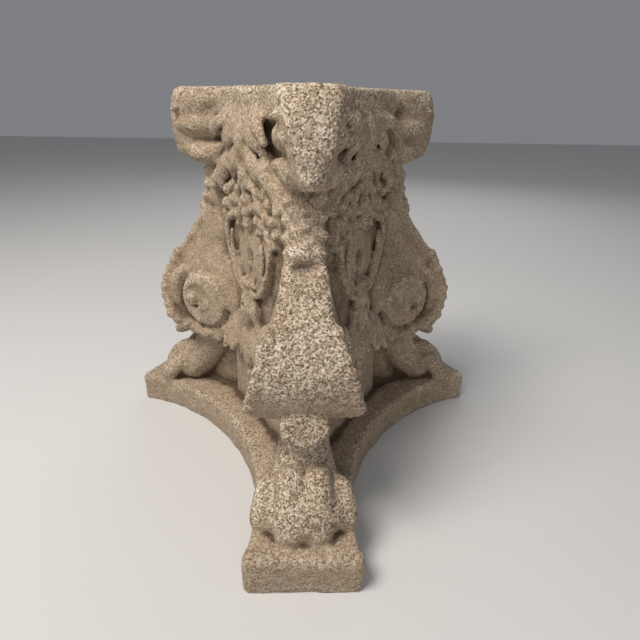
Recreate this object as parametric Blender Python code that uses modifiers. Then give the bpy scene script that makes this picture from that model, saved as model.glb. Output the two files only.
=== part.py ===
"""Three-legged cast-stone pedestal with scroll legs, lion paws and beast heads under a flat top.

The pedestal is one casting. Overlapping closed forms (plinth, core, legs, heads, leaves, berries)
are gathered into one mesh, fused by a voxel remesh, pierced by the drilled hollows, thinned to
a light mesh and cut flat at the floor and at the top.

Units are metres, +Z is up and the origin is on the axis at the underside. The carving is drawn on
a sheet on which the plinth's top is at 48, the pedestal's top at 508, r counts outward from
the axis and t counts sideways; one step of that sheet is CARVE metres.
"""
import math

import bmesh
import bpy
from mathutils import Matrix, Vector

# Driving sizes
HEIGHT = 0.508
PLINTH_HEIGHT = 0.048
ARM_REACH = 0.296
ARM_WIDTH = 0.135
ARM_CORNER = 0.010
PLINTH_WAIST = 0.118
PLINTH_EDGE = 0.005
TOE_LEDGE = 0.015
GRAIN = HEIGHT / 127
FACE_BUDGET = 9300
SLIVER = GRAIN / 20

# The carving's sheet
SHEET_PLINTH = 48.0
SHEET_TOP = 508.0
CARVE = (HEIGHT - PLINTH_HEIGHT) / (SHEET_TOP - SHEET_PLINTH)

LEG_ANGLES = (-90.0, 30.0, 150.0)
BAY_ANGLES = (-30.0, 90.0, 210.0)
BROKEN_LEG = 0

# Core: (z, distance of the bay faces from the axis)
CORE_LEVELS = ((40, 80), (118, 78), (150, 82), (214, 82), (272, 80), (326, 79), (377, 77), (440, 74), (500, 72))
CORE_CORNER = 118.0

# Leg web: (z, outer radius, half width)
WEB_LEVELS = ((150, 176, 40), (165, 194, 45), (185, 210, 46), (215, 221, 46), (240, 218, 43), (268, 206, 35),
              (300, 184, 25), (345, 152, 22), (400, 143, 22), (470, 143, 22))

# Half width of the recessed web between the shaft and an ankle
WEB_BELOW = 14.0

# Outer leaf of a leg, from its top down and round below the scroll: (r, z, half width)
LEAF_LINE = ((152, 366, 19), (160, 350, 23), (178, 325, 24), (196, 301, 25), (211, 281, 29), (222, 260, 35),
             (228, 238, 43), (229, 218, 52), (223, 198, 61), (211, 179, 67), (195, 163, 66), (174, 151, 58),
             (150, 145, 50), (124, 148, 46))
LEAF_THICKNESS = 14.0
LEAF_CROWN = 4.0
LEAF_CREST = 0.45
LEAF_BACK = 0.94
LOBE_PITCH = 13.0
LOBE_RADIUS = 8.0

# Scroll disc on both sides of a leg
SCROLL_CENTRE = (152.0, 212.0)
SCROLL_RADIUS = 42.0
SCROLL_FACE = 49.5
SCROLL_EYE = (171.0, 212.0)

# Broken stub on the front leg: its middle (r, z), slope in degrees, depth behind and before it, rim (t, rise)
STUB_CENTRE = (216.0, 163.0)
STUB_SLOPE = 18.0
STUB_DEPTHS = (-36, 12)
STUB_RIM = ((-27, 14), (8, 22), (26, 12), (28, -3), (0, -22), (-25, -10))

# Head: (z, inner radius, outer radius, half width), turned a little against its leg
HEAD_LEVELS = ((415, 150, 189, 13), (424, 135, 196, 18), (445, 125, 199, 24), (462, 118, 199, 28),
               (474, 110, 198, 32), (492, 104, 196, 36), (503, 100, 190, 35), (512, 96, 180, 32))
HEAD_TWIST = 2.0
TOP_SLAB = (474.0, 512.0)
TOP_BAY = 84.0
TOP_CORNER = 150.0

# Share of each hollow arc of the plinth that is drawn between two arms
ARC_SHARE = 0.94


def at(r, t, z):
    """A point of the sheet for the leg or bay that points to -Y."""
    return Vector((t * CARVE, -r * CARVE, PLINTH_HEIGHT + (z - SHEET_PLINTH) * CARVE))


def turned(angle):
    """Rotation about the axis that brings the -Y direction to the given angle in degrees."""
    return Matrix.Rotation(math.radians(angle + 90.0), 4, "Z")


def template(create, **sizes):
    """Points and faces of one primitive, made once and copied for every form."""
    mesh = bmesh.new()
    create(mesh, **sizes)
    points = [vert.co.copy() for vert in mesh.verts]
    faces = [[vert.index for vert in face.verts] for face in mesh.faces]
    mesh.free()
    return points, faces


BALL = template(bmesh.ops.create_uvsphere, u_segments=14, v_segments=9, radius=1.0)
BAR = template(bmesh.ops.create_cone, cap_ends=True, segments=20, radius1=1.0, radius2=1.0, depth=2.0)


class Forms:
    """Overlapping closed forms gathered in one mesh, each turned into place as it is added."""

    def __init__(self):
        self.points = []
        self.faces = []
        self.turn = Matrix.Identity(4)

    def add(self, points, faces):
        """Append one closed form, turned into place."""
        first = len(self.points)
        self.points += [self.turn @ point for point in points]
        self.faces += [[first + index for index in face] for face in faces]

    def blob(self, spot, radii, tilt=0.0, roll=0.0):
        """An ellipsoid: radii across (t), outward (r) and up (z), tilted outward and rolled sideways."""
        size = Vector(radii) * CARVE
        pose = Matrix.Rotation(math.radians(roll), 4, "Y") @ Matrix.Rotation(math.radians(tilt), 4, "X")
        matrix = Matrix.Translation(at(*spot)) @ pose @ Matrix.Diagonal((*size, 1.0))
        self.add([matrix @ point for point in BALL[0]], BALL[1])

    def rod(self, start, end, start_radius, end_radius):
        """A tapered round bar with flat ends between two points of the sheet."""
        low, high = at(*start), at(*end)
        line = (high - low) / 2
        matrix = Matrix.Translation((low + high) / 2) @ line.to_track_quat("Z", "Y").to_matrix().to_4x4()
        points = []
        for point in BAR[0]:
            radius = (start_radius if point.z < 0 else end_radius) * CARVE
            points.append(matrix @ Vector((point.x * radius, point.y * radius, point.z * line.length)))
        self.add(points, BAR[1])

    def roll(self, points, radii):
        """A round roll through points of the sheet: bars joined by balls."""
        for spot, radius in zip(points, radii):
            self.blob(spot, (radius, radius, radius))
        for i in range(len(points) - 1):
            self.rod(points[i], points[i + 1], radii[i], radii[i + 1])

    def loft(self, rings):
        """A closed skin over rings of points with the same count, capped at both ends."""
        count = len(rings[0])
        faces = [list(reversed(range(count)))]
        for level in range(len(rings) - 1):
            for i in range(count):
                low, next_low = level * count + i, level * count + (i + 1) % count
                faces.append([low, next_low, next_low + count, low + count])
        faces.append([(len(rings) - 1) * count + i for i in range(count)])
        self.add([point for ring in rings for point in ring], faces)

    def object(self, name, collection):
        """The gathered forms as one object with outward faces."""
        data = bpy.data.meshes.new(name)
        data.from_pydata(self.points, [], self.faces)
        mesh = bmesh.new()
        mesh.from_mesh(data)
        bmesh.ops.recalc_face_normals(mesh, faces=mesh.faces)
        mesh.to_mesh(data)
        mesh.free()
        item = bpy.data.objects.new(name, data)
        collection.objects.link(item)
        return item


def plinth_outline(inset):
    """Plinth outline drawn in by inset: three arms with rounded corners and arcs between them."""
    half = ARM_WIDTH / 2
    corner = Vector((half, ARM_REACH))
    to_bay = math.radians(60.0)
    along = corner.x * math.sin(to_bay) + corner.y * math.cos(to_bay)
    across = corner.y * math.sin(to_bay) - corner.x * math.cos(to_bay)
    rise = along - PLINTH_WAIST
    radius = (rise * rise + across * across) / (2 * rise)
    centre = PLINTH_WAIST + radius
    sweep = math.asin(across / radius)
    reach, side = ARM_REACH - inset, half - inset
    points = []
    for leg in LEG_ANGLES:
        out = Vector((math.cos(math.radians(leg)), math.sin(math.radians(leg))))
        aside = Vector((-out.y, out.x))
        bend = ARM_CORNER
        for sign in (-1, 1):
            for step in range(4):
                turn = math.radians(30.0 * step if sign > 0 else 90.0 - 30.0 * step)
                outward = reach - bend + bend * math.cos(turn)
                sideways = sign * (side - bend + bend * math.sin(turn))
                points.append(out * outward + aside * sideways)
        bay = math.radians(leg + 60.0)
        normal = Vector((math.cos(bay), math.sin(bay)))
        along_bay = Vector((-normal.y, normal.x))
        steps = 12
        for step in range(1, steps):
            turn = sweep * (2.0 * step / steps - 1.0) * ARC_SHARE
            reach_in = centre - (radius + inset) * math.cos(turn)
            points.append(normal * reach_in + along_bay * (radius + inset) * math.sin(turn))
    return points


def add_plinth(forms):
    """Flat three-armed slab with a worn top edge."""
    levels = ((-GRAIN * 2, 0.0), (PLINTH_HEIGHT - PLINTH_EDGE, 0.0), (PLINTH_HEIGHT, PLINTH_EDGE))
    forms.turn = Matrix.Identity(4)
    forms.loft([[Vector((p.x, p.y, z)) for p in plinth_outline(inset)] for z, inset in levels])


def triangle_ring(bay, corner, z):
    """A triangle with cut corners: flat faces at the bay distance, corners at the corner distance."""
    half = (bay - corner * 0.5) / math.sin(math.radians(60.0))
    ring = []
    for leg in LEG_ANGLES:
        ring += [turned(leg) @ at(corner, -half, z), turned(leg) @ at(corner, half, z)]
    return ring


def add_core(forms):
    """Three-sided shaft and the slab that carries the flat top."""
    forms.turn = Matrix.Identity(4)
    forms.loft([triangle_ring(bay, CORE_CORNER, z) for z, bay in CORE_LEVELS])
    low, high = TOP_SLAB
    forms.loft([triangle_ring(TOP_BAY - 8, TOP_CORNER, low - 8), triangle_ring(TOP_BAY, TOP_CORNER, low),
                triangle_ring(TOP_BAY, TOP_CORNER, high)])


def box_ring(inner, outer, half, z):
    """A rectangle in a level plane of a leg."""
    return [at(inner, -half, z), at(outer, -half, z), at(outer, half, z), at(inner, half, z)]


def leaf_normals():
    """Outward normals of the leaf's line in the leg's upright plane."""
    normals = []
    for i in range(len(LEAF_LINE)):
        before, after = LEAF_LINE[max(i - 1, 0)], LEAF_LINE[min(i + 1, len(LEAF_LINE) - 1)]
        run = Vector((after[0] - before[0], after[1] - before[1])).normalized()
        normals.append(Vector((-run.y, run.x)))
    return normals


def add_leaf(forms):
    """Broad leaf over the outside of a leg, rolled in below the scroll, with a lobed rim."""
    rings = []
    for (r, z, half), normal in zip(LEAF_LINE, leaf_normals()):
        crown = (r + normal.x * LEAF_CROWN, z + normal.y * LEAF_CROWN)
        inner = (r - normal.x * LEAF_THICKNESS, z - normal.y * LEAF_THICKNESS)
        narrow = half * LEAF_BACK
        rings.append([at(r, -half, z), at(crown[0], -half * LEAF_CREST, crown[1]), at(crown[0], half * LEAF_CREST, crown[1]),
                      at(r, half, z), at(inner[0], narrow, inner[1]), at(inner[0], -narrow, inner[1])])
    forms.loft(rings)
    travelled = 0.0
    next_lobe = LOBE_PITCH
    for start, end in zip(LEAF_LINE, LEAF_LINE[1:]):
        length = math.hypot(end[0] - start[0], end[1] - start[1])
        while travelled + length >= next_lobe:
            share = (next_lobe - travelled) / length
            r, z, half = (a + (b - a) * share for a, b in zip(start, end))
            inward = Vector((SCROLL_CENTRE[0] - r, SCROLL_CENTRE[1] - z)).normalized() * LOBE_RADIUS * 0.5
            for side in (-1, 1):
                forms.blob((r + inward.x, side * (half - 3), z + inward.y),
                           (LOBE_RADIUS, LOBE_RADIUS, LOBE_RADIUS))
            next_lobe += LOBE_PITCH
        travelled += length


def add_scroll(forms, hollows):
    """Scroll disc on both sides of a leg with its spiral, its eye and the drilled hollows."""
    r0, z0 = SCROLL_CENTRE
    forms.rod((r0, -SCROLL_FACE + 3, z0), (r0, SCROLL_FACE - 3, z0), SCROLL_RADIUS, SCROLL_RADIUS)
    forms.rod((r0, -SCROLL_FACE, z0), (r0, SCROLL_FACE, z0), SCROLL_RADIUS - 3, SCROLL_RADIUS - 3)
    turns = 14
    for side in (-1, 1):
        spiral = []
        for step in range(turns + 1):
            share = step / turns
            angle = math.radians(-60.0 + 400.0 * share)
            reach = (SCROLL_RADIUS - 8) * (1.0 - share) + 12.0 * share
            spiral.append((r0 + 15.0 * share + reach * math.cos(angle), side * SCROLL_FACE,
                           z0 + 4.0 * share + reach * math.sin(angle)))
        forms.roll(spiral, [4.0] * len(spiral))
        forms.blob((SCROLL_EYE[0], side * SCROLL_FACE, SCROLL_EYE[1]), (7, 10, 9))
        hollows.blob((SCROLL_EYE[0] - 3, side * (SCROLL_FACE + 2), SCROLL_EYE[1] - 14), (9, 9, 4.5))
        for step in range(6):
            angle = math.radians(198.0 + 16.0 * step)
            reach = SCROLL_RADIUS + 4.0
            hollows.blob((r0 + reach * math.cos(angle), side * (SCROLL_FACE - 1), z0 + reach * math.sin(angle)),
                         (9, 6.5, 6.5))


def add_foot(forms, broken):
    """Ankle and four-toed paw on the plinth's arm, and the leaf tip above it, whole or broken."""
    front = (ARM_REACH - TOE_LEDGE) / CARVE
    forms.blob((front - 104, 0, 120), (31, 32, 34))
    forms.blob((front - 84, 0, 92), (38, 36, 26))
    forms.blob((front - 42, 0, 64), (50, 38, 31))
    forms.loft([box_ring(40, front - 72, WEB_BELOW, z) for z in (40, 150)])
    for side in (-1, 1):
        forms.roll([(front - 70, side * 15, 92), (front - 40, side * 17, 83), (front - 20, side * 16, 60)],
                   [15, 18, 18])
        forms.roll([(front - 72, side * 36, 80), (front - 50, side * 45, 74), (front - 37, side * 48, 58)],
                   [12, 14, 15])
    if broken:
        face = Vector((math.cos(math.radians(STUB_SLOPE)), math.sin(math.radians(STUB_SLOPE))))
        up = Vector((-face.y, face.x))
        rings = []
        for depth in STUB_DEPTHS:
            ring = []
            for t, rise in STUB_RIM:
                spot = Vector(STUB_CENTRE) + face * depth + up * rise
                ring.append(at(spot.x, t, spot.y))
            rings.append(ring)
        forms.loft(rings)
    else:
        forms.roll([(200, 0, 158), (224, 0, 144), (244, 0, 130)], [20, 18, 14])
        for side in (-1, 1):
            forms.roll([(200, side * 16, 156), (232, side * 15, 138)], [15, 12])


def add_neck(forms, hollows, broken):
    """Leaf curl at the top of a leg and the berries below the head."""
    bunch = ((383, 148, 4), (395, 150, 3), (406, 146, 4))
    if broken:
        hollows.blob((170, 1, 334), (18, 8, 5), tilt=-35)
        forms.blob((158, 0, 344), (22, 10, 8))
        bunch += ((356, 153, 3), (369, 151, 4))
    else:
        forms.blob((158, 0, 366), (22, 13, 13))
    for z, r, count in bunch:
        for i in range(count):
            spread = (i - (count - 1) / 2) * 12.0
            forms.blob((r - abs(spread) * 0.2, spread, z + (3 if i % 2 else -2)), (7.5, 8, 7.5))
    for row in range(3):
        for side in (-1, 1):
            forms.blob((130 - 6 * row, side * (30 - 2 * row), 386 + 12 * row), (8, 9, 9))


def add_head(forms, hollows):
    """Beast head at a corner of the top: brow, muzzle, two rolls on each side, eye and nostril."""
    forms.loft([box_ring(inner, outer, half, z) for z, inner, outer, half in HEAD_LEVELS])
    forms.blob((188, 0, 486), (29, 13, 22))
    forms.blob((194, 0, 440), (21, 11, 24))
    for side in (-1, 1):
        forms.roll([(126, side * 26, 463), (156, side * 28, 462), (180, side * 25, 464)], [13, 15, 12])
        forms.roll([(126, side * 16, 426), (156, side * 20, 427), (179, side * 18, 430)], [16, 17, 13])
        hollows.blob((191, side * 36, 488), (8, 9, 10))
        hollows.blob((187, side * 28, 424), (5, 6, 5))
        hollows.blob((158, side * 41, 444), (11, 32, 4.5))
        hollows.blob((127, side * 40, 478), (12, 15, 13))


def add_bay(forms, hollows):
    """Foliage of a bay, the same to both sides of its centre."""
    forms.blob((76, 0, 304), (62, 13, 52))
    for t, z, rise, across, up in ((0, 462, 80, 13, 20), (0, 432, 82, 10, 13), (0, 372, 82, 9, 10),
                                   (0, 352, 82, 9, 9), (0, 244, 84, 12, 16), (0, 222, 84, 9, 20),
                                   (0, 186, 84, 12, 16), (0, 158, 85, 11, 14), (0, 134, 84, 9, 15)):
        forms.blob((rise, t, z), (across, 10, up))
    for side in (-1, 1):
        outer = [(86, side * t, z) for t, z in ((4, 262), (20, 257), (38, 267), (52, 286), (62, 308), (66, 330),
                                                (60, 348))]
        forms.roll(outer, [5, 4.5, 4.5, 4.5, 4.5, 4.5, 4])
        inner = [(87, side * t, z) for t, z in ((8, 272), (22, 270), (34, 280), (44, 296), (49, 314), (46, 332))]
        forms.roll(inner, [4.5, 3.5, 4, 4, 4, 3.5])
        forms.roll([(84, side * 6, 254), (84, side * 18, 232), (84, side * 24, 208)], [5, 6.5, 5])
        forms.roll([(83, side * 6, 205), (85, side * 22, 176), (87, side * 34, 150)], [6, 8, 7])
        forms.roll([(82, side * 30, 215), (89, side * 46, 180), (97, side * 52, 156)], [5, 8, 7])
        forms.roll([(78, side * 8, 470), (83, side * 32, 456), (84, side * 50, 442)], [8, 9, 5])
        forms.roll([(77, side * 22, 480), (87, side * 48, 472), (93, side * 70, 458)], [6, 7, 5])
        forms.roll([(78, side * 8, 444), (83, side * 22, 428), (83, side * 36, 412)], [8, 9, 6])
        forms.roll([(78, side * 48, 430), (82, side * 60, 414), (80, side * 66, 398)], [8, 9, 6])
        for t, z, size in ((18, 396, 9), (32, 384, 10), (46, 372, 9), (58, 366, 9), (16, 368, 8), (28, 356, 9),
                           (44, 356, 9), (60, 350, 8), (62, 384, 8), (72, 360, 8), (12, 412, 7), (86, 428, 9)):
            forms.blob((81, side * t, z), (size, size, size))
        hollows.blob((90, side * 26, 403), (13, 9, 5), roll=side * 35)
        hollows.blob((90, side * 72, 344), (5, 9, 5))
        hollows.blob((88, side * 30, 369), (4.5, 9, 4.5))
        hollows.blob((90, side * 54, 314), (4.5, 8, 4.5))
    hollows.blob((93, 0, 303), (9, 15, 9))
    hollows.blob((93, 0, 287), (7, 13, 7))
    hollows.blob((91, 0, 238), (5, 9, 4))
    hollows.blob((93, 0, 341), (5.5, 11, 4.5))


def gathered_mesh(item, name):
    """The object's evaluated mesh as a new mesh."""
    bpy.context.view_layer.update()
    evaluated = item.evaluated_get(bpy.context.evaluated_depsgraph_get())
    data = bpy.data.meshes.new_from_object(evaluated)
    data.name = name
    return data


def stone_material():
    """Pale weathered cast stone."""
    material = bpy.data.materials.new("cast_stone")
    material.use_nodes = True
    shader = material.node_tree.nodes["Principled BSDF"]
    shader.inputs["Base Color"].default_value = (0.52, 0.43, 0.33, 1.0)
    shader.inputs["Roughness"].default_value = 0.92
    shader.inputs["Metallic"].default_value = 0.0
    return material


def fused(item, hollows):
    """Fuse the gathered forms into one skin, pierce it and thin it to the face budget."""
    for body in (item, hollows):
        remesh = body.modifiers.new("Fuse", "REMESH")
        remesh.mode = "VOXEL"
        remesh.voxel_size = GRAIN
    pierce = item.modifiers.new("Drilled hollows", "BOOLEAN")
    pierce.operation = "DIFFERENCE"
    pierce.object = hollows
    item.data = gathered_mesh(item, "pierced")
    item.modifiers.clear()
    mesh = bmesh.new()
    mesh.from_mesh(item.data)
    bmesh.ops.triangulate(mesh, faces=mesh.faces)
    bmesh.ops.dissolve_degenerate(mesh, dist=SLIVER, edges=mesh.edges)
    bmesh.ops.triangulate(mesh, faces=mesh.faces)
    mesh.to_mesh(item.data)
    mesh.free()
    thin = item.modifiers.new("Thin", "DECIMATE")
    thin.ratio = FACE_BUDGET / len(item.data.polygons)


def cut_flat(item, cutters):
    """Cut the casting flat at the floor and at the top."""
    reach = ARM_REACH * 2.5
    bpy.ops.mesh.primitive_cube_add(size=1.0, location=(0.0, 0.0, HEIGHT / 2))
    keep = bpy.context.object
    keep.name = "keep_between_floor_and_top"
    keep.scale = (reach, reach, HEIGHT)
    for holder in keep.users_collection:
        holder.objects.unlink(keep)
    cutters.objects.link(keep)
    keep.hide_render = True
    keep.display_type = "WIRE"
    trim = item.modifiers.new("Flat top and underside", "BOOLEAN")
    trim.operation = "INTERSECT"
    trim.object = keep


def main():
    for item in list(bpy.data.objects):
        bpy.data.objects.remove(item, do_unlink=True)
    parts = bpy.data.collections.new("three_legged_pedestal")
    cutters = bpy.data.collections.new("cutters")
    bpy.context.scene.collection.children.link(parts)
    bpy.context.scene.collection.children.link(cutters)

    forms, hollows = Forms(), Forms()
    add_plinth(forms)
    add_core(forms)
    for index, angle in enumerate(LEG_ANGLES):
        forms.turn = hollows.turn = turned(angle)
        forms.loft([box_ring(40, outer, half, z) for z, outer, half in WEB_LEVELS])
        add_leaf(forms)
        add_scroll(forms, hollows)
        add_foot(forms, index == BROKEN_LEG)
        add_neck(forms, hollows, index == BROKEN_LEG)
        forms.turn = hollows.turn = turned(angle + HEAD_TWIST)
        add_head(forms, hollows)
    for angle in BAY_ANGLES:
        forms.turn = hollows.turn = turned(angle)
        add_bay(forms, hollows)

    pedestal = forms.object("pedestal", parts)
    drilled = hollows.object("drilled_hollows", cutters)
    drilled.hide_render = True
    drilled.display_type = "WIRE"
    fused(pedestal, drilled)
    cut_flat(pedestal, cutters)
    pedestal.data.materials.clear()
    pedestal.data.materials.append(stone_material())


main()
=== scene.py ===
"""Weathered three-legged cast-stone pedestal, dressed for a plain studio picture.

The casting is gathered from surfaces worked out with numpy, fused into one skin, drilled,
worn soft and roughened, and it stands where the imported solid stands. The carving is drawn on a
sheet in thousandths of a metre: r counts outward from the axis, t sideways and z up from the floor,
for a leg or bay that points to -Y.
"""
import math

import bpy
import numpy as np
from bpy.props import FloatProperty, FloatVectorProperty, IntProperty, PointerProperty
from mathutils import Matrix, Vector


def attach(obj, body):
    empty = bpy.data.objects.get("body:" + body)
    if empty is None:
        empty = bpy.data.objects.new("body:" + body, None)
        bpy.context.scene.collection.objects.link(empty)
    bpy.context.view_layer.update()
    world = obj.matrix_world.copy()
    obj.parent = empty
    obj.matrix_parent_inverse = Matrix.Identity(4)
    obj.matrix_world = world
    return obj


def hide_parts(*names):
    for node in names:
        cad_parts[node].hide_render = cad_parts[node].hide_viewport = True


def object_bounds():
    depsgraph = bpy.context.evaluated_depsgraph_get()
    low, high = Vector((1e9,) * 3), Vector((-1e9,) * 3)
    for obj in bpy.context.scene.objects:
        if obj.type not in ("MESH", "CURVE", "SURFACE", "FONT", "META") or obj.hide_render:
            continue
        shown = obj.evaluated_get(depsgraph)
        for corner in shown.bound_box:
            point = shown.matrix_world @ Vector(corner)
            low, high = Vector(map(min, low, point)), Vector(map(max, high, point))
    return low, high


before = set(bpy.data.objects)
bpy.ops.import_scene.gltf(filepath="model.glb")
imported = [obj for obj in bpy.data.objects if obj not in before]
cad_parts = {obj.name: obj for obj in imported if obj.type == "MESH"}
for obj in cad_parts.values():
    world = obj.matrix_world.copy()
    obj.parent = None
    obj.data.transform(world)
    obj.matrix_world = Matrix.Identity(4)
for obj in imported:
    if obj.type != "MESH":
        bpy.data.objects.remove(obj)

bl_info = {
    "name": "Weathered cast-stone pedestal",
    "version": (1, 0, 0),
    "blender": (4, 5, 0),
    "location": "3D View > Sidebar > Pedestal",
    "description": "Builds a worn three-legged cast-stone pedestal and the plain stage around it",
    "category": "Object",
}

SOLID_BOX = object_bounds()
TOP = SOLID_BOX[1].z
PLINTH_TOP = 0.048
SHEET_PLINTH = 48.0
SHEET_TOP = 508.0
CARVE = (TOP - PLINTH_TOP) / (SHEET_TOP - SHEET_PLINTH)

ARM_REACH = -SOLID_BOX[0].y
ARM_WIDTH = 0.135
ARM_CORNER = 0.010
PLINTH_WAIST = 0.118
TOE_LEDGE = 0.015
LEG_ANGLES = (-90.0, 30.0, 150.0)
BAY_ANGLES = (-30.0, 90.0, 210.0)
HEAD_TWIST = 2.0

# Shaft: (z, distance of the bay faces from the axis)
CORE_LEVELS = ((40, 80), (118, 78), (150, 82), (214, 82), (272, 80), (326, 79), (377, 77), (440, 74), (500, 72))
CORE_CORNER = 118.0

# Leg web: (z, outer radius, half width)
WEB_LEVELS = ((150, 182, 40), (165, 199, 45), (185, 213, 46), (215, 221, 46), (240, 218, 43), (268, 206, 35),
              (300, 184, 25), (345, 152, 22), (400, 143, 22), (470, 143, 22))
WEB_BELOW = 14.0

# Outer leaf of a leg, from its top down and round below the scroll: (r, z, half width)
LEAF_LINE = ((152, 366, 19), (160, 350, 22), (171, 334, 24), (181, 321, 27), (196, 301, 31), (211, 281, 36),
             (222, 260, 42), (228, 238, 51), (229, 218, 56), (223, 198, 60), (211, 180, 65), (195, 164, 58),
             (174, 151, 46), (150, 145, 42), (124, 148, 40))
LEAF_THICKNESS = 14.0
LEAF_CROWN = 4.0
LOBE_PITCH = 15.0
LOBE_RADIUS = 9.0
LOBES_BELOW = 292.0

SCROLL_CENTRE = (152.0, 212.0)
SCROLL_RADIUS = 42.0
SCROLL_FACE = 50.5
SCROLL_EYE = (171.0, 212.0)

# Head: (z, inner radius, outer radius, half width)
HEAD_LEVELS = ((415, 150, 189, 13), (424, 135, 196, 18), (445, 125, 199, 24), (462, 118, 199, 28),
               (474, 110, 198, 32), (492, 104, 196, 36), (503, 100, 188, 34), (512, 96, 174, 30))
TOP_BAY = 84.0
TOP_CORNER = 150.0


def spaced(values, steps):
    """Smooth curve through rows of values: Catmull-Rom cubic pieces, each read at an even number of steps."""
    values = np.asarray(values, dtype=float)
    if len(values) < 2:
        return values
    padded = np.vstack([2 * values[0] - values[1], values, 2 * values[-1] - values[-2]])
    share = np.arange(steps)[None, :, None] / steps
    a, b, c, d = (padded[i:len(padded) - 3 + i, None, :] for i in range(4))
    curve = 0.5 * (2 * b + (c - a) * share + (2 * a - 5 * b + 4 * c - d) * share**2
                   + (3 * b - a - 3 * c + d) * share**3)
    return np.vstack([curve.reshape(-1, values.shape[1]), values[-1]])


def grid_faces(rows, columns):
    """Quads of a tube-like grid whose columns close on themselves."""
    row, column = np.meshgrid(np.arange(rows - 1), np.arange(columns), indexing="ij")
    here = row * columns + column
    beside = row * columns + (column + 1) % columns
    return np.stack([here, beside, beside + columns, here + columns], axis=-1).reshape(-1, 4)


def closed_tube(rings):
    """A tube over rings of points, each end drawn together to the ring's middle by a fan of triangles."""
    rows, columns = rings.shape[:2]
    points = np.vstack([rings.reshape(-1, 3), rings[0].mean(axis=0), rings[-1].mean(axis=0)])
    side = np.arange(columns)
    after = (side + 1) % columns
    last = (rows - 1) * columns
    start = np.stack([after, side, np.full(columns, rows * columns)], axis=-1)
    end = np.stack([last + side, last + after, np.full(columns, rows * columns + 1)], axis=-1)
    return points, grid_faces(rows, columns), np.vstack([start, end])


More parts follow.
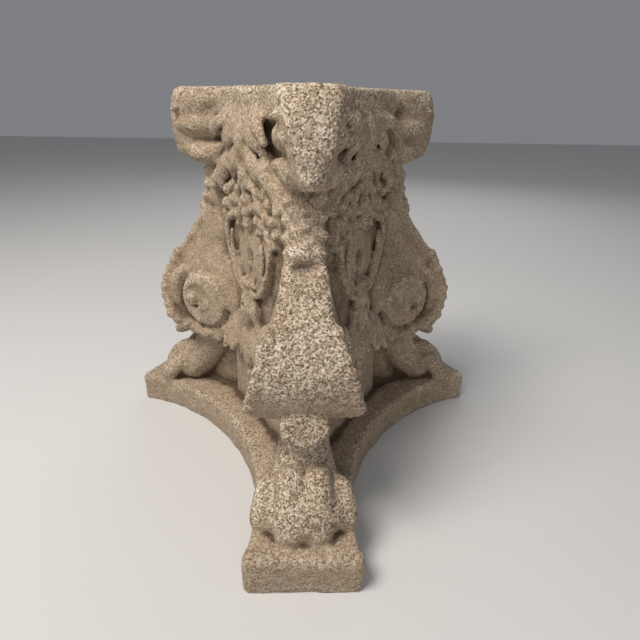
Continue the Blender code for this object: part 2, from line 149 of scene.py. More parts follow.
class Forms:
    """Overlapping closed surfaces gathered in one mesh, each turned into place as it is added."""

    def __init__(self):
        self.points = []
        self.faces = []
        self.count = 0
        self.turn = np.eye(3)

    def face_to(self, angle):
        """Forms added from now on belong to the leg or bay at this angle in degrees."""
        self.turn = np.array(Matrix.Rotation(math.radians(angle + 90.0), 3, "Z"))

    def add(self, points, quads, triangles, on_sheet=True):
        """Append one closed surface. A sheet point (r, t, z) lies at (t, -r, z) before the turn."""
        if on_sheet:
            points = np.stack([points[:, 1], -points[:, 0], points[:, 2] - SHEET_PLINTH], axis=-1) * CARVE
            points = points + np.array([0.0, 0.0, PLINTH_TOP])
        self.points.append(points @ self.turn.T)
        self.faces += (quads + self.count).tolist() + (triangles + self.count).tolist()
        self.count += len(points)

    def ball(self, spot, radii, lean=0.0, roll=0.0):
        """An ellipsoid over angles of turn and of height. Radii are across, outward and up, then it
        leans outward and rolls sideways."""
        turn = np.linspace(0, 2 * math.pi, 20, endpoint=False)
        rise = np.linspace(-0.49 * math.pi, 0.49 * math.pi, 12)
        across, out, up = radii
        ring = np.stack(np.broadcast_arrays(np.cos(rise)[:, None] * np.sin(turn) * out,
                                            np.cos(rise)[:, None] * np.cos(turn) * across,
                                            np.sin(rise)[:, None] * up), axis=-1)
        tip, heel = math.radians(lean), math.radians(roll)
        leaning = np.array([[math.cos(tip), 0, math.sin(tip)], [0, 1, 0], [-math.sin(tip), 0, math.cos(tip)]])
        rolling = np.array([[1, 0, 0], [0, math.cos(heel), math.sin(heel)], [0, -math.sin(heel), math.cos(heel)]])
        self.add(*closed_tube(ring @ leaning.T @ rolling.T + np.asarray(spot, dtype=float)))

    def sweep(self, path, widths, depths, across=(0, 1, 0), steps=5, lobes=0, lobe_share=0.0, rib=0.0):
        """An oval carried along a smooth path, its ends rounded over. The half width runs along the
        across direction and swells once for each lobe; a rib lifts the middle of both faces."""
        stations = spaced(np.column_stack([path, widths, depths]), steps)
        line, width, depth = stations[:, :3], stations[:, 3], stations[:, 4]
        along = np.gradient(line, axis=0)
        along /= np.linalg.norm(along, axis=1, keepdims=True)
        side = np.asarray(across, dtype=float)[None, :] - along * (along @ np.asarray(across, dtype=float))[:, None]
        side /= np.linalg.norm(side, axis=1, keepdims=True)
        out = np.cross(along, side)
        share = np.linspace(0, 1, len(line))
        width = width * (1 + lobe_share * np.abs(np.sin(math.pi * lobes * share)) if lobes else 1)
        caps = np.linspace(1.0, 0.0, 4, endpoint=False)
        shrink = np.sqrt(1 - caps**2)
        line = np.vstack([line[0] - along[0] * (caps * depth[0])[:, None], line,
                          line[-1] + along[-1] * (caps[::-1] * depth[-1])[:, None]])
        width = np.concatenate([width[0] * shrink, width, width[-1] * shrink[::-1]])
        depth = np.concatenate([depth[0] * shrink, depth, depth[-1] * shrink[::-1]])
        side = np.vstack([np.repeat(side[:1], 4, axis=0), side, np.repeat(side[-1:], 4, axis=0)])
        out = np.vstack([np.repeat(out[:1], 4, axis=0), out, np.repeat(out[-1:], 4, axis=0)])
        turn = np.linspace(0, 2 * math.pi, 14, endpoint=False)
        lift = np.sin(turn) * (1 + rib * np.exp(-(np.cos(turn) / 0.25) ** 2))
        rings = (line[:, None] + side[:, None] * (width[:, None] * np.cos(turn))[..., None]
                 + out[:, None] * (depth[:, None] * lift)[..., None])
        self.add(*closed_tube(rings))

    def roll(self, path, radii, **options):
        """A round roll along a smooth path."""
        self.sweep(path, radii, radii, **options)

    def leaf(self, path, widths, thickness=5.0, lobes=3, across=(0, 1, 0)):
        """A pointed leaf blade with a lobed rim and a raised rib."""
        self.sweep(path, widths, [thickness] * len(widths), across=across, lobes=lobes, lobe_share=0.28, rib=0.35)

    def loft(self, rings, on_sheet=True):
        """A skin over rings of points with the same count."""
        self.add(*closed_tube(np.asarray(rings, dtype=float)), on_sheet=on_sheet)

    def object(self, name):
        """The gathered forms as one object."""
        mesh = bpy.data.meshes.new(name)
        mesh.from_pydata(np.vstack(self.points).tolist(), [], self.faces)
        item = bpy.data.objects.new(name, mesh)
        bpy.context.scene.collection.objects.link(item)
        return item


def plinth_outline(inset):
    """Three arms with rounded corners, joined by hollow arcs that pass the waist, drawn in by inset."""
    half = ARM_WIDTH / 2
    to_bay = math.radians(60.0)
    along = half * math.sin(to_bay) + ARM_REACH * math.cos(to_bay)
    across = ARM_REACH * math.sin(to_bay) - half * math.cos(to_bay)
    rise = along - PLINTH_WAIST
    radius = (rise * rise + across * across) / (2 * rise)
    centre = PLINTH_WAIST + radius
    sweep = math.asin(across / radius) * 0.94
    points = []
    for leg in LEG_ANGLES:
        out = np.array([math.cos(math.radians(leg)), math.sin(math.radians(leg))])
        aside = np.array([-out[1], out[0]])
        bend = np.radians(np.linspace(0.0, 90.0, 5))[:, None]
        outward = ARM_REACH - inset - ARM_CORNER * (1 - np.cos(bend))
        sideways = half - inset - ARM_CORNER * (1 - np.sin(bend))
        points.append((out * outward - aside * sideways)[::-1])
        points.append(out * outward + aside * sideways)
        bay = math.radians(leg + 60.0)
        normal = np.array([math.cos(bay), math.sin(bay)])
        beside = np.array([-normal[1], normal[0]])
        turn = np.linspace(-sweep, sweep, 25)[1:-1, None]
        points.append(normal * (centre - (radius + inset) * np.cos(turn))
                      + beside * (radius + inset) * np.sin(turn))
    return np.vstack(points)


def add_plinth(forms):
    """Flat three-armed slab whose top edge is worn round."""
    rings = []
    for z, inset in ((0.0, 0.0), (0.020, 0.0), (PLINTH_TOP - 0.007, 0.0), (PLINTH_TOP - 0.002, 0.002),
                     (PLINTH_TOP, 0.007)):
        outline = plinth_outline(inset)
        rings.append(np.column_stack([outline, np.full(len(outline), z)]))
    forms.turn = np.eye(3)
    forms.loft(rings, on_sheet=False)


def triangle_ring(bay, corner, z):
    """A triangle with cut corners in world metres: bay faces and corners at their distances."""
    half = (bay - corner * 0.5) / math.sin(math.radians(60.0))
    ring = []
    for leg in LEG_ANGLES:
        turn = np.array(Matrix.Rotation(math.radians(leg + 90.0), 3, "Z"))
        for side in (-half, half):
            ring.append(turn @ np.array([side * CARVE, -corner * CARVE, PLINTH_TOP + (z - SHEET_PLINTH) * CARVE]))
    return ring


def add_core(forms):
    """Three-sided shaft and the slab that carries the flat top."""
    forms.turn = np.eye(3)
    forms.loft([triangle_ring(bay, CORE_CORNER, z) for z, bay in CORE_LEVELS], on_sheet=False)
    forms.loft([triangle_ring(TOP_BAY - 10, TOP_CORNER, 466), triangle_ring(TOP_BAY, TOP_CORNER, 476),
                triangle_ring(TOP_BAY, TOP_CORNER, 503), triangle_ring(TOP_BAY - 3, TOP_CORNER, 508)],
               on_sheet=False)


def box_ring(inner, outer, half, z):
    """A rectangle in a level plane of a leg."""
    return [(inner, -half, z), (outer, -half, z), (outer, half, z), (inner, half, z)]


def add_leaf(forms):
    """Broad worn leaf over the outside of a leg, rolled in below the scroll, with a lobed rim.

    Stations run down a smooth line; at each, a flat oval lies square to the line, crowned outside.
    The rim's lobes are balls set at even steps along both edges.
    """
    line = spaced(LEAF_LINE, 5)
    run = np.gradient(line[:, :2], axis=0)
    step = np.linalg.norm(run, axis=1)
    normal = np.stack([-run[:, 1], run[:, 0]], axis=-1) / step[:, None]
    turn = np.linspace(0, 2 * math.pi, 24, endpoint=False)
    wide = np.sign(np.cos(turn)) * np.abs(np.cos(turn)) ** 0.55
    deep = np.sign(np.sin(turn)) * np.abs(np.sin(turn)) ** 0.7
    half_thick = LEAF_THICKNESS / 2
    crown = LEAF_CROWN * (1 - wide**2) * (deep > 0)
    offset = deep * half_thick - half_thick + crown
    r = line[:, 0, None] + normal[:, 0, None] * offset
    z = line[:, 1, None] + normal[:, 1, None] * offset
    t = line[:, 2, None] * wide
    forms.loft(np.stack([r, t, z], axis=-1))
    length = np.concatenate([[0.0], np.cumsum(np.linalg.norm(np.diff(line[:, :2], axis=0), axis=1))])
    stops = np.arange(LOBE_PITCH, length[-1], LOBE_PITCH)
    places = np.column_stack([np.interp(stops, length, line[:, i]) for i in range(3)])
    for r, z, half in places[places[:, 1] < LOBES_BELOW]:
        inward = np.array([SCROLL_CENTRE[0] - r, SCROLL_CENTRE[1] - z])
        inward *= LOBE_RADIUS * 0.6 / np.linalg.norm(inward)
        for side in (-1, 1):
            forms.ball((r + inward[0], side * (half - 2.5), z + inward[1]), (LOBE_RADIUS * 0.9, LOBE_RADIUS, LOBE_RADIUS))


def add_scroll(forms, hollows):
    """Scroll disc on both sides of a leg: a turned disc, a spiral roll on it, an eye and drilled hollows."""
    r0, z0 = SCROLL_CENTRE
    turn = np.linspace(0, 2 * math.pi, 48, endpoint=False)
    rings = []
    for t, radius in ((-SCROLL_FACE, SCROLL_RADIUS - 9), (-SCROLL_FACE, SCROLL_RADIUS - 3),
                      (-SCROLL_FACE + 3, SCROLL_RADIUS), (SCROLL_FACE - 3, SCROLL_RADIUS),
                      (SCROLL_FACE, SCROLL_RADIUS - 3), (SCROLL_FACE, SCROLL_RADIUS - 9)):
        rings.append(np.stack([r0 + radius * np.cos(turn), np.full(48, t), z0 + radius * np.sin(turn)], axis=-1))
    forms.loft(rings)
    for side in (-1, 1):
        share = np.linspace(0, 1, 20)
        angle = np.radians(-75.0 + 430.0 * share)
        reach = (SCROLL_RADIUS - 6) * (1 - share) + 12.0 * share
        spiral = np.stack([r0 + 15.0 * share + reach * np.cos(angle), np.full(20, side * (SCROLL_FACE - 1.0)),
                           z0 + 4.0 * share + reach * np.sin(angle)], axis=-1)
        forms.roll(spiral, 4.5 - 0.8 * share, across=(0, 1, 0), steps=3)
        forms.ball((SCROLL_EYE[0] + 1, side * SCROLL_FACE, SCROLL_EYE[1] + 1), (8, 10, 9))
        hollows.ball((SCROLL_EYE[0] - 3, side * (SCROLL_FACE + 2), SCROLL_EYE[1] - 13), (10, 9, 4.2))
        for step in range(7):
            angle = math.radians(196.0 + 14.0 * step)
            reach = SCROLL_RADIUS + 4.0
            hollows.ball((r0 + reach * math.cos(angle), side * (SCROLL_FACE - 1), z0 + reach * math.sin(angle)),
                         (9, 7.0, 7.0))
        angle = np.radians(np.linspace(-92.0, 42.0, 12))
        reach = SCROLL_RADIUS + 15.0
        forms.roll(np.stack([r0 + reach * np.cos(angle), np.full(12, side * (SCROLL_FACE - 7.5)),
                             z0 + reach * np.sin(angle)], axis=-1), np.full(12, 9.5), steps=2)
        angle = np.radians(np.linspace(-70.0, 150.0, 16))
        reach = SCROLL_RADIUS + 2.5
        hollows.roll(np.stack([r0 + reach * np.cos(angle), np.full(16, side * (SCROLL_FACE - 4)),
                               z0 + reach * np.sin(angle)], axis=-1), np.full(16, 3.6), steps=2)


def add_foot(forms, hollows, broken):
    """Ankle and four-toed paw, and above it the leaf's tip, whole or broken off square."""
    front = (ARM_REACH - TOE_LEDGE) / CARVE
    forms.sweep([(front - 112, 0, 150), (front - 106, 0, 120), (front - 92, 0, 96), (front - 70, 0, 70)],
                [30, 31, 37, 46], [34, 31, 30, 28])
    forms.ball((front - 42, 0, 64), (50, 38, 31))
    forms.loft([box_ring(40, front - 72, WEB_BELOW, z) for z in (40, 150)])
    for side in (-1, 1):
        forms.roll([(front - 75, side * 14, 93), (front - 56, side * 16, 96), (front - 38, side * 17, 84),
                    (front - 26, side * 17, 70), (front - 20, side * 16, 56)], [13, 17, 17, 16, 18])
        forms.ball((front - 34, side * 32, 58), (13, 16, 16))
        forms.roll([(front - 74, side * 34, 80), (front - 58, side * 42, 82), (front - 46, side * 47, 70),
                    (front - 38, side * 48, 56)], [11, 14, 14, 15])
        hollows.roll([(front - 62, side * 30, 98), (front - 46, side * 32, 90), (front - 32, side * 33, 78)],
                     [2, 3, 2])
    hollows.roll([(front - 56, 0, 115), (front - 34, 0, 103), (front - 16, 0, 84)], [2.0, 3.0, 2.4])
    if broken:
        face = np.array([math.cos(math.radians(18.0)), math.sin(math.radians(18.0))])
        up = np.array([-face[1], face[0]])
        outline = ((-27, 12), (-10, 20), (8, 22), (26, 12), (28, -3), (14, -15), (0, -22), (-25, -10))
        rings = []
        for depth, size in ((-40, 1.0), (10, 1.0), (13, 0.94)):
            spots = [np.array([216.0, 163.0]) + face * depth + up * rise * size for _, rise in outline]
            rings.append([(spot[0], t * size, spot[1]) for spot, (t, _) in zip(spots, outline)])
        forms.loft(rings)
    else:
        forms.sweep([(196, 0, 162), (222, 0, 146), (247, 0, 127)], [32, 29, 20], [16, 14, 11], lobes=2,
                    lobe_share=0.15)


def add_neck(forms, hollows, broken):
    """Leaf curl at the top of a leg and the bunches of berries below the head."""
    bunch = ((363, 158, 4), (372, 155, 3), (381, 152, 4), (391, 153, 3), (400, 152, 4), (410, 147, 3))
    if broken:
        hollows.ball((175, 1, 333), (19, 10, 6), lean=35)
        forms.ball((161, 0, 347), (25, 11, 9))
        bunch += ((353, 163, 3),)
    else:
        forms.ball((163, 0, 348), (23, 12, 14))
    for z, r, count in bunch:
        for i in range(count):
            spread = (i - (count - 1) / 2) * 12.5
            forms.ball((r - abs(spread) * 0.2, spread, z + (2 if i % 2 else -2)), (7, 8, 6.5))
    for row in range(4):
        for side in (-1, 1):
            forms.ball((131 - 5 * row, side * (29 - row), 384 + 9.5 * row), (8, 8, 7))
    for side in (-1, 1):
        hollows.ball((151, side * 10, 386), (4, 7, 3.5))
        hollows.ball((146, side * 24, 397), (4.5, 7, 4))
        hollows.ball((142, side * 25, 352), (6, 9, 7))


def add_head(forms, hollows):
    """Beast head at a corner of the top: brow, muzzle, two rolls on each side, eyes and nostrils."""
    rows = spaced([(z, inner, outer, half) for z, inner, outer, half in HEAD_LEVELS], 4)
    turn = np.linspace(0, 2 * math.pi, 24, endpoint=False)
    wide = np.sign(np.cos(turn)) * np.abs(np.cos(turn)) ** 0.5
    deep = np.sign(np.sin(turn)) * np.abs(np.sin(turn)) ** 0.5
    middle, reach = (rows[:, 1] + rows[:, 2]) / 2, (rows[:, 2] - rows[:, 1]) / 2
    forms.loft(np.stack([middle[:, None] + reach[:, None] * deep, rows[:, 3, None] * wide,
                         np.repeat(np.minimum(rows[:, 0], SHEET_TOP)[:, None], 24, axis=1)], axis=-1))
    forms.sweep([(184, 0, 502), (195, 0, 480), (199, 0, 452), (197, 0, 427)], [29, 26, 21, 14], [7, 7, 8, 10])
    for side in (-1, 1):
        forms.roll([(124, side * 21, 463), (156, side * 23, 462), (182, side * 21, 464)], [13, 15, 12])
        forms.roll([(124, side * 15, 426), (152, side * 18, 427), (178, side * 12, 431)], [15, 16, 11])
        hollows.ball((187, side * 36, 490), (9, 8, 9))
        forms.ball((181, side * 36, 481), (4, 6, 4))
        hollows.ball((180, side * 23, 423), (5, 7, 5))
        hollows.ball((127, side * 40, 478), (12, 15, 13))
        hollows.sweep([(130, side * 40, 444), (160, side * 42, 444), (186, side * 37, 445)], [11, 11, 9],
                      [3.5, 4, 3.5])
        hollows.sweep([(188, side * 31, 500), (199, side * 29, 484), (201, side * 27, 466)], [2, 2.4, 2], [3, 3, 3])


def add_bay(forms, hollows):
    """Foliage of a bay, the same to both sides of its centre: crest leaves, berries, scrolls and a hanging bell."""
    forms.ball((73, 0, 300), (58, 12, 50))
    forms.leaf([(78, 0, 484), (86, 0, 466), (90, 0, 444), (83, 0, 424)], [10, 15, 12, 4], thickness=6)
    forms.leaf([(78, 0, 428), (87, 0, 412), (85, 0, 392)], [8, 12, 4], thickness=6)
    for z, size in ((380, 9), (364, 8), (350, 9)):
        forms.ball((84, 0, z), (size, 9, size))
    forms.leaf([(84, 0, 262), (91, 0, 244), (91, 0, 222), (84, 0, 200)], [9, 14, 10, 4], thickness=7)
    forms.leaf([(80, 0, 206), (90, 0, 184), (92, 0, 160), (84, 0, 138)], [7, 13, 12, 5], thickness=7)
    forms.ball((86, 0, 132), (9, 10, 12))
    for side in (-1, 1):
        forms.roll([(87, side * t, z) for t, z in ((4, 262), (20, 257), (38, 267), (52, 286), (62, 308), (66, 330),
                                                   (60, 348))], [5, 4.5, 4.5, 4.5, 4.5, 4.5, 4])
        forms.roll([(88, side * t, z) for t, z in ((8, 272), (22, 270), (34, 280), (44, 296), (49, 314), (46, 332))],
                   [4.5, 3.5, 4, 4, 4, 3.5])
        forms.ball((90, side * 5, 273), (8, 8, 7))
        forms.leaf([(84, side * 4, 256), (89, side * 15, 236), (85, side * 23, 208)], [6, 8, 3])
        forms.leaf([(82, side * 4, 208), (90, side * 18, 180), (90, side * 28, 152)], [7, 10, 5])
        forms.leaf([(80, side * 24, 216), (90, side * 40, 186), (98, side * 48, 152)], [6, 11, 6])
        forms.leaf([(84, side * 46, 208), (96, side * 60, 180), (104, side * 62, 152)], [5, 9, 5])
        forms.leaf([(77, side * 8, 480), (86, side * 24, 466), (89, side * 42, 450), (84, side * 54, 438)],
                   [8, 13, 11, 4])
        forms.leaf([(76, side * 24, 484), (86, side * 42, 477), (94, side * 62, 466), (94, side * 76, 452)],
                   [7, 10, 9, 4])
        forms.leaf([(77, side * 6, 452), (86, side * 18, 434), (87, side * 32, 417), (82, side * 42, 405)],
                   [8, 13, 10, 4])
        forms.leaf([(76, side * 44, 436), (87, side * 58, 420), (85, side * 66, 400)], [8, 12, 5])
        forms.leaf([(76, side * 66, 424), (86, side * 80, 404), (82, side * 84, 382)], [7, 10, 5])
        for t, z, size in ((14, 398, 8), (26, 390, 7), (30, 376, 9), (44, 374, 8), (56, 366, 8), (15, 370, 7),
                           (27, 358, 8), (42, 356, 7), (56, 350, 7), (30, 344, 6), (62, 384, 8),
                           (70, 364, 8), (76, 350, 7), (70, 338, 6), (12, 412, 6), (46, 392, 7), (88, 430, 9),
                           (80, 414, 7)):
            forms.ball((82, side * t, z), (size, size + 1, size))
        hollows.sweep([(90, side * 16, 410), (90, side * 26, 402), (88, side * 38, 398)], [4, 4, 3], [7, 7, 5])
        for t, z in ((22, 367), (36, 366), (50, 382), (66, 352), (72, 340), (54, 314), (16, 412), (14, 488)):
            hollows.ball((90, side * t, z), (3.8, 8, 4.2))
    hollows.ball((90, 0, 305), (12, 16, 15))
    hollows.ball((91, -5, 288), (8, 14, 8))
    hollows.ball((97, 0, 240), (5, 10, 3.5))
    hollows.ball((93, 0, 341), (5.5, 11, 4.5))
    hollows.ball((93, -9, 370), (4.5, 8, 4))


def evaluated_mesh(item):
    """The object's mesh with its modifiers applied."""
    bpy.context.view_layer.update()
    evaluated = item.evaluated_get(bpy.context.evaluated_depsgraph_get())
    mesh = bpy.data.meshes.new_from_object(evaluated)
    item.modifiers.clear()
    return mesh


def lattice_noise(points, cell, seed):
    """Smooth noise from 0 to 1: seeded numbers at the corners of a cube lattice, blended in between."""
    size = 48
    table = np.random.default_rng(seed).random((size, size, size))
    place = points / cell + 1000.0
    low = np.floor(place).astype(int)
    share = place - low
    share = share * share * (3 - 2 * share)
    total = np.zeros(len(points))
    for corner in np.ndindex(2, 2, 2):
        weight = np.prod(np.where(corner, share, 1 - share), axis=1)
        index = (low + corner) % size
        total += weight * table[index[:, 0], index[:, 1], index[:, 2]]
    return total


def read_points(mesh):
    """Vertex places and outward normals as arrays."""
    places = np.empty(len(mesh.vertices) * 3)
    normals = np.empty(len(mesh.vertices) * 3)
    mesh.vertices.foreach_get("co", places)
    mesh.vertex_normals.foreach_get("vector", normals)
    return places.reshape(-1, 3), normals.reshape(-1, 3)


def smoothstep(value, low, high):
    """0 below low, 1 above high and an eased slope between."""
    share = np.clip((value - low) / (high - low), 0, 1)
    return share * share * (3 - 2 * share)


def exposure_of(places, normals):
    """How weathered a spot is: outward and upward faces far from the axis, and the top, most of all."""
    reach = np.hypot(places[:, 0], places[:, 1])
    outward = (places[:, 0] * normals[:, 0] + places[:, 1] * normals[:, 1]) / np.maximum(reach, 1e-6)
    facing = smoothstep(0.75 * outward + 0.6 * normals[:, 2], 0.25, 0.95)
    far = smoothstep(reach, 0.13, 0.20)
    crown = smoothstep(places[:, 2], 0.455, 0.50) * 0.7
    patches = lattice_noise(places, 0.035, 11)
    above = smoothstep(places[:, 2], PLINTH_TOP + 0.004, PLINTH_TOP + 0.03)
    plinth = (1 - above) * (0.25 * smoothstep(patches, 0.4, 0.8) + 0.25 * smoothstep(normals[:, 2], 0.5, 0.9))
    return np.clip(above * np.maximum(facing * far, crown * (0.4 + 0.6 * facing)) * (0.75 + 0.4 * patches)
                   + plinth, 0, 1)


def roughen(mesh, wear):
    """Move each vertex along its normal by soft unevenness, grains and pits, deeper where it is weathered."""
    places, normals = read_points(mesh)
    exposed = exposure_of(places, normals)
    uneven = (lattice_noise(places, 0.022, 1) - 0.5) * 0.0022 + (lattice_noise(places, 0.009, 2) - 0.5) * 0.0012
    grains = (lattice_noise(places, 0.0036, 3) - 0.5) * 0.0017
    pits = -smoothstep(lattice_noise(places, 0.0055, 4), 0.70, 0.90) * 0.0016
    moved = places + normals * (wear * (uneven + (0.25 + 0.75 * exposed) * (grains + pits)))[:, None]
    moved[:, 2] = np.clip(moved[:, 2], 0.0, TOP)
    moved[:, 1] = np.maximum(moved[:, 1], SOLID_BOX[0].y)
    mesh.vertices.foreach_set("co", moved.ravel())
    mesh.update()


def neighbour_mean(values, edges, passes):
    """Average over neighbours along edges, repeated, one array pass at a time."""
    count = np.bincount(edges.ravel(), minlength=len(values))[:, None]
    for _ in range(passes):
        total = np.empty_like(values)
        for axis in range(values.shape[1]):
            total[:, axis] = (np.bincount(edges[:, 0], values[edges[:, 1], axis], len(values))
                              + np.bincount(edges[:, 1], values[edges[:, 0], axis], len(values)))
        values = (values + total) / (count + 1)
    return values


def paint_weather(mesh):
    """Point attributes for the material: how exposed each spot is and how deep in a hollow it lies; the hollow depth
    darkens the stone as painted shade.
    """
    places, normals = read_points(mesh)
    edges = np.empty(len(mesh.edges) * 2, dtype=int)
    mesh.edges.foreach_get("vertices", edges)
    edges = edges.reshape(-1, 2)
    near = neighbour_mean(places, edges, 12)
    wide = neighbour_mean(near, edges, 60)
    crease = np.sum((near - places) * normals, axis=1) / 0.0022
    hollow = np.sum((wide - places) * normals, axis=1) / 0.010
    # deep marks creases and hollows so that the material paints shade into them, standing in for the shadow in
    # recesses.
    deep = np.clip(0.28 * smoothstep(crease, 0.2, 1.6) + 1.1 * smoothstep(hollow, 0.1, 1.1), 0, 1)
    proud = smoothstep(-crease, 0.15, 1.1)
    # exposed is weathering wear. It is lowered in hollows so they keep the darker skin, which adds to the painted
    # shade there.
    exposed = np.clip(exposure_of(places, normals) + 0.35 * proud - 0.3 * deep, 0, 1)
    for name, values in (("exposed", exposed), ("deep", deep)):
        attribute = mesh.attributes.new(name, "FLOAT", "POINT")
        attribute.data.foreach_set("value", values.astype(np.float32))


class Nodes:
    """Short hands for a material's node tree."""

    def __init__(self, material):
        self.tree = material.node_tree

    def add(self, kind, **values):
        """A node with its properties set."""
        node = self.tree.nodes.new(kind)
        for name, value in values.items():
            setattr(node, name, value)
        return node

    def link(self, output, target):
        self.tree.links.new(output, target)

    def noise(self, place, scale, detail=3.0, roughness=0.55):
        node = self.add("ShaderNodeTexNoise")
        node.inputs["Scale"].default_value = scale
        node.inputs["Detail"].default_value = detail
        node.inputs["Roughness"].default_value = roughness
        self.link(place, node.inputs["Vector"])
        return node.outputs["Fac"]

    def ramp(self, value, stops):
        """A colour ramp from (position, colour) pairs."""
        node = self.add("ShaderNodeValToRGB")
        ramp = node.color_ramp
        while len(ramp.elements) < len(stops):
            ramp.elements.new(0.5)
        for element, (position, colour) in zip(ramp.elements, stops):
            element.position = position
            element.color = (*colour, 1.0)
        self.link(value, node.inputs["Fac"])
        return node.outputs["Color"]

    def math(self, operation, first, second, clamp=False):
        node = self.add("ShaderNodeMath", operation=operation, use_clamp=clamp)
        for socket, value in zip(node.inputs, (first, second)):
            if isinstance(value, (int, float)):
                socket.default_value = value
            else:
                self.link(value, socket)
        return node.outputs[0]

    def mix(self, share, first, second, blend="MIX"):
        node = self.add("ShaderNodeMix", data_type="RGBA", blend_type=blend)
        for name, value in (("Factor", share), ("A", first), ("B", second)):
            socket = [s for s in node.inputs if s.name == name and s.enabled][0]
            if isinstance(value, (int, float)):
                socket.default_value = value
            elif isinstance(value, tuple):
                socket.default_value = (*value, 1.0)
            else:
                self.link(value, socket)
        return [s for s in node.outputs if s.enabled][0]


def cast_stone(colours):
    """Cast stone: smooth brown skin in the lee, pale grains and dark pits where the skin is gone, and painted shade
    darkening the hollows.
    """
    material = bpy.data.materials.new("cast_stone")
    material.use_nodes = True
    nodes = Nodes(material)
    shader = nodes.tree.nodes["Principled BSDF"]
    place = nodes.add("ShaderNodeTexCoord").outputs["Object"]
    exposed = nodes.add("ShaderNodeAttribute", attribute_name="exposed").outputs["Fac"]
    deep = nodes.add("ShaderNodeAttribute", attribute_name="deep").outputs["Fac"]

    skin, grain, pale, shade = (tuple(c) for c in (colours.skin, colours.grain, colours.pale, colours.shade))
    blotch = nodes.noise(place, 14.0, 4.0)
    tint = nodes.noise(place, 55.0, 3.0)
    cells = nodes.add("ShaderNodeTexVoronoi", feature="F1")
    cells.inputs["Scale"].default_value = 560.0
    nodes.link(place, cells.inputs["Vector"])
    split = nodes.add("ShaderNodeSeparateColor")
    nodes.link(cells.outputs["Color"], split.inputs["Color"])
    speck = split.outputs[0]

    worn_mix = nodes.ramp(speck, ((0.0, shade), (0.11, skin), (0.34, grain), (0.64, pale), (0.95, (0.76, 0.68, 0.57))))
    warm = nodes.mix(nodes.ramp(blotch, ((0.42, (0, 0, 0)), (0.62, (1, 1, 1)))), worn_mix, grain, "MULTIPLY")
    worn = nodes.mix(0.35, worn_mix, warm)
    skin_tint = nodes.mix(nodes.ramp(tint, ((0.35, (0, 0, 0)), (0.7, (1, 1, 1)))), skin, grain)
    skin_speck = nodes.mix(0.30, skin_tint, worn_mix)
    edge = nodes.math("ADD", exposed, nodes.math("MULTIPLY", nodes.math("SUBTRACT", tint, 0.5), 0.7), True)
    colour = nodes.mix(edge, skin_speck, worn)
    # Painted shade: creases and hollows, read from the deep attribute, are multiplied towards the dark colour,
    # standing in for the shadow that gathers in recesses.
    painted_hollow_shade = nodes.ramp(deep, ((0.05, (0, 0, 0)), (0.85, (1, 1, 1))))
    colour = nodes.mix(painted_hollow_shade, colour, nodes.mix(0.82, colour, shade, "MULTIPLY"))
    nodes.link(colour, shader.inputs["Base Color"])
    shader.inputs["Roughness"].default_value = 0.93
    shader.inputs["Specular IOR Level"].default_value = 0.25

    fine = nodes.noise(place, 380.0, 3.0, 0.7)
    pits = nodes.ramp(nodes.noise(place, 210.0, 2.0), ((0.30, (0, 0, 0)), (0.46, (1, 1, 1))))
    height = nodes.math("ADD", nodes.math("MULTIPLY", fine, 0.5), nodes.math("MULTIPLY", speck, 0.4))
    height = nodes.math("ADD", height, nodes.math("MULTIPLY", pits, 0.9))
    strength = nodes.math("ADD", nodes.math("MULTIPLY", exposed, 0.6), 0.35)
    bump = nodes.add("ShaderNodeBump")
    bump.inputs["Distance"].default_value = 0.0011
    nodes.link(strength, bump.inputs["Strength"])
    nodes.link(height, bump.inputs["Height"])
    nodes.link(bump.outputs["Normal"], shader.inputs["Normal"])
    return material


class PedestalCastingSettings(bpy.types.PropertyGroup):
    """Sizes of the casting's surface."""
    grain: FloatProperty(name="Grain", description="Size of the steps in which the carving is fused",
                         default=0.0022, min=0.001, max=0.01, unit="LENGTH")
    wear: FloatProperty(name="Wear", description="Depth of pits and grains, 1 as seen", default=1.0, min=0.0, max=3.0)
    softening: IntProperty(name="Softening", description="Passes that wear the edges round", default=3, min=0, max=20)
    face_limit: IntProperty(name="Triangle limit", description="Most triangles of the finished casting",
                            default=195000, min=20000, max=199000)


class PedestalColours(bpy.types.PropertyGroup):
    """Colours of the cast stone."""
    skin: FloatVectorProperty(name="Skin", description="Smooth cast skin in sheltered places", subtype="COLOR",
                              default=(0.235, 0.165, 0.105), min=0.0, max=1.0)
    grain: FloatVectorProperty(name="Grain", description="Tan sand between the pale grains", subtype="COLOR",
                               default=(0.36, 0.268, 0.18), min=0.0, max=1.0)
    pale: FloatVectorProperty(name="Pale grains", description="Washed out grains on weathered faces",
                              subtype="COLOR", default=(0.56, 0.475, 0.375), min=0.0, max=1.0)
    # This dark colour gives the darkest specks of the grain and is also the painted shade laid into hollows and
    # creases.
    shade: FloatVectorProperty(name="Dirt and painted shade", description="Dirt held in hollows and pits", subtype="COLOR",
                               default=(0.10, 0.066, 0.042), min=0.0, max=1.0)


class PedestalStageSettings(bpy.types.PropertyGroup):
    """Stage, light and camera."""
    floor_size: FloatProperty(name="Floor size", description="Width of the round floor", default=12.0, unit="LENGTH")
    floor_colour: FloatVectorProperty(name="Floor colour", description="Plain pale floor", subtype="COLOR",
                                      default=(0.62, 0.62, 0.62), min=0.0, max=1.0)
    camera_place: FloatVectorProperty(name="Camera place", description="Where the camera stands",
                                      subtype="TRANSLATION", default=(0.002, -0.650, 0.4953))
    camera_pitch: FloatProperty(name="Camera pitch", description="Angle that the camera looks down",
                                subtype="ANGLE", default=math.radians(24.75))
    camera_heading: FloatProperty(name="Camera heading", description="Angle that the camera looks to the right",
                                  subtype="ANGLE", default=math.radians(1.77))
    camera_roll: FloatProperty(name="Camera roll", description="Angle that the picture leans to the right",
                               subtype="ANGLE", default=math.radians(1.0))
    lens: FloatProperty(name="Lens", description="Focal length in millimetres on a 36 mm frame", default=26.98)


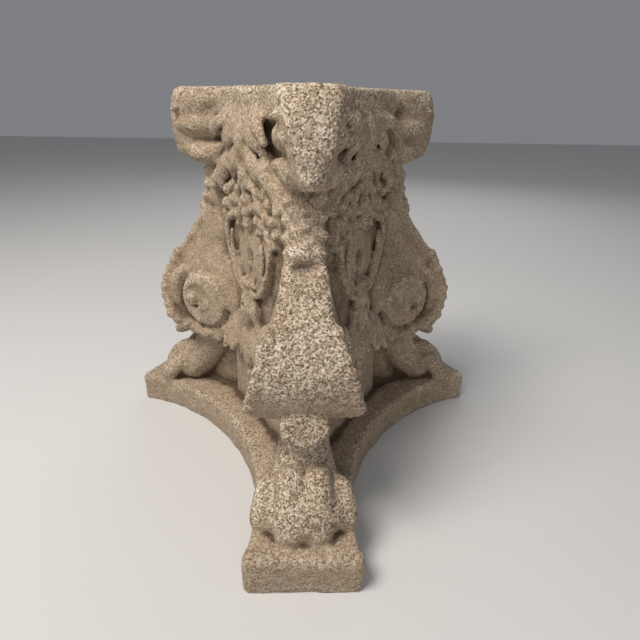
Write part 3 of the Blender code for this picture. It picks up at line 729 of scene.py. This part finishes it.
class PEDESTAL_OT_casting(bpy.types.Operator):
    """Carve, fuse, drill and weather the pedestal"""
    bl_idname = "pedestal.casting"
    bl_label = "Casting"

    def execute(self, context):
        settings = context.scene.pedestal_casting
        forms, hollows = Forms(), Forms()
        add_plinth(forms)
        add_core(forms)
        for index, angle in enumerate(LEG_ANGLES):
            broken = index == 0
            forms.face_to(angle)
            hollows.face_to(angle)
            forms.loft([box_ring(40, outer, half, z) for z, outer, half in spaced(WEB_LEVELS, 3)])
            add_leaf(forms)
            add_scroll(forms, hollows)
            add_foot(forms, hollows, broken)
            add_neck(forms, hollows, broken)
            forms.face_to(angle + HEAD_TWIST)
            hollows.face_to(angle + HEAD_TWIST)
            add_head(forms, hollows)
        for angle in BAY_ANGLES:
            forms.face_to(angle)
            hollows.face_to(angle)
            add_bay(forms, hollows)
        piece, drills = forms.object("weathered_pedestal"), hollows.object("drills")
        for item in (piece, drills):
            remesh = item.modifiers.new("Fuse", "REMESH")
            remesh.mode = "VOXEL"
            remesh.voxel_size = settings.grain
        drills.data = evaluated_mesh(drills)
        drill = piece.modifiers.new("Drill", "BOOLEAN")
        drill.operation = "DIFFERENCE"
        drill.solver = "MANIFOLD"
        drill.object = drills
        again = piece.modifiers.new("Even out", "REMESH")
        again.mode = "VOXEL"
        again.voxel_size = settings.grain
        soften = piece.modifiers.new("Wear soft", "SMOOTH")
        soften.iterations = settings.softening
        soften.factor = 0.5
        piece.data = evaluated_mesh(piece)
        bpy.data.objects.remove(drills)
        roughen(piece.data, settings.wear)
        piece.modifiers.new("Triangles", "TRIANGULATE")
        piece.data = evaluated_mesh(piece)
        if len(piece.data.polygons) > settings.face_limit:
            thin = piece.modifiers.new("Thin", "DECIMATE")
            thin.ratio = settings.face_limit / len(piece.data.polygons)
            piece.data = evaluated_mesh(piece)
        piece.data.name = "weathered_pedestal"
        paint_weather(piece.data)
        piece.data.materials.clear()
        piece.data.materials.append(cast_stone(context.scene.pedestal_colours))
        piece.data.shade_smooth()
        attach(piece, "root")
        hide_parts("pedestal")
        return {"FINISHED"}


def area_light(name, place, aim, size, power, colour=(1.0, 1.0, 1.0)):
    """A square soft light at a place, turned to its aim."""
    data = bpy.data.lights.new(name, "AREA")
    data.size = size
    data.energy = power
    data.color = colour
    light = bpy.data.objects.new(name, data)
    light.location = place
    light.rotation_euler = (Vector(aim) - Vector(place)).to_track_quat("-Z", "Y").to_euler()
    bpy.context.scene.collection.objects.link(light)
    return light


def studio_camera(settings):
    """Camera from its heading, pitch and roll."""
    heading, pitch, roll = settings.camera_heading, settings.camera_pitch, settings.camera_roll
    ahead = Vector((math.sin(heading) * math.cos(pitch), math.cos(heading) * math.cos(pitch), -math.sin(pitch)))
    right = Vector((math.cos(heading), -math.sin(heading), 0.0))
    up = right.cross(ahead)
    right_rolled = right * math.cos(roll) + up * math.sin(roll)
    up_rolled = up * math.cos(roll) - right * math.sin(roll)
    data = bpy.data.cameras.new("studio_camera")
    data.sensor_width = 36.0
    data.lens = settings.lens
    data.clip_start = 0.01
    camera = bpy.data.objects.new("studio_camera", data)
    axes = Matrix((right_rolled, up_rolled, -ahead)).transposed()
    camera.matrix_world = Matrix.Translation(settings.camera_place) @ axes.to_4x4()
    bpy.context.scene.collection.objects.link(camera)
    bpy.context.scene.camera = camera


class PEDESTAL_OT_stage(bpy.types.Operator):
    """Lay the pale floor and set the soft lights and the camera"""
    bl_idname = "pedestal.stage"
    bl_label = "Stage"

    def execute(self, context):
        settings = context.scene.pedestal_stage
        half = settings.floor_size / 2
        mesh = bpy.data.meshes.new("floor")
        mesh.from_pydata([(-half, -half, 0), (half, -half, 0), (half, half, 0), (-half, half, 0)], [], [(0, 1, 2, 3)])
        floor = bpy.data.objects.new("floor", mesh)
        context.scene.collection.objects.link(floor)
        material = bpy.data.materials.new("pale_floor")
        material.use_nodes = True
        shader = material.node_tree.nodes["Principled BSDF"]
        shader.inputs["Base Color"].default_value = (*settings.floor_colour, 1.0)
        shader.inputs["Roughness"].default_value = 0.8
        mesh.materials.append(material)
        area_light("overhead", (-0.95, -0.75, 2.1), (0.0, 0.0, 0.3), 0.9, 52.0, (1.0, 0.94, 0.86))
        area_light("front_fill", (0.2, -2.2, 1.1), (0.0, 0.0, 0.25), 1.4, 8.0)
        area_light("back_fill", (0.6, 2.0, 1.6), (0.0, 0.0, 0.3), 1.6, 10.0)
        world = bpy.data.worlds.new("studio")
        world.use_nodes = True
        background = world.node_tree.nodes["Background"]
        background.inputs["Color"].default_value = (0.80, 0.82, 0.86, 1.0)
        background.inputs["Strength"].default_value = 0.26
        context.scene.world = world
        context.scene.view_settings.view_transform = "Standard"
        studio_camera(settings)
        return {"FINISHED"}


class PEDESTAL_PT_panel(bpy.types.Panel):
    """Sidebar panel with the sizes, colours and steps"""
    bl_idname = "PEDESTAL_PT_panel"
    bl_label = "Cast-stone pedestal"
    bl_space_type = "VIEW_3D"
    bl_region_type = "UI"
    bl_category = "Pedestal"

    def draw(self, context):
        groups = ((context.scene.pedestal_casting, ("grain", "wear", "softening", "face_limit")),
                  (context.scene.pedestal_colours, ("skin", "grain", "pale", "shade")),
                  (context.scene.pedestal_stage, ("floor_size", "floor_colour", "lens")))
        for group, names in groups:
            for name in names:
                self.layout.prop(group, name)
        self.layout.operator("pedestal.casting")
        self.layout.operator("pedestal.stage")


CLASSES = (PedestalCastingSettings, PedestalColours, PedestalStageSettings, PEDESTAL_OT_casting, PEDESTAL_OT_stage,
           PEDESTAL_PT_panel)


def register():
    for item in CLASSES:
        bpy.utils.register_class(item)
    bpy.types.Scene.pedestal_casting = PointerProperty(type=PedestalCastingSettings)
    bpy.types.Scene.pedestal_colours = PointerProperty(type=PedestalColours)
    bpy.types.Scene.pedestal_stage = PointerProperty(type=PedestalStageSettings)


def unregister():
    del bpy.types.Scene.pedestal_stage
    del bpy.types.Scene.pedestal_colours
    del bpy.types.Scene.pedestal_casting
    for item in reversed(CLASSES):
        bpy.utils.unregister_class(item)


def main():
    register()
    bpy.ops.pedestal.casting()
    bpy.ops.pedestal.stage()


if __name__ == "__main__":
    main()
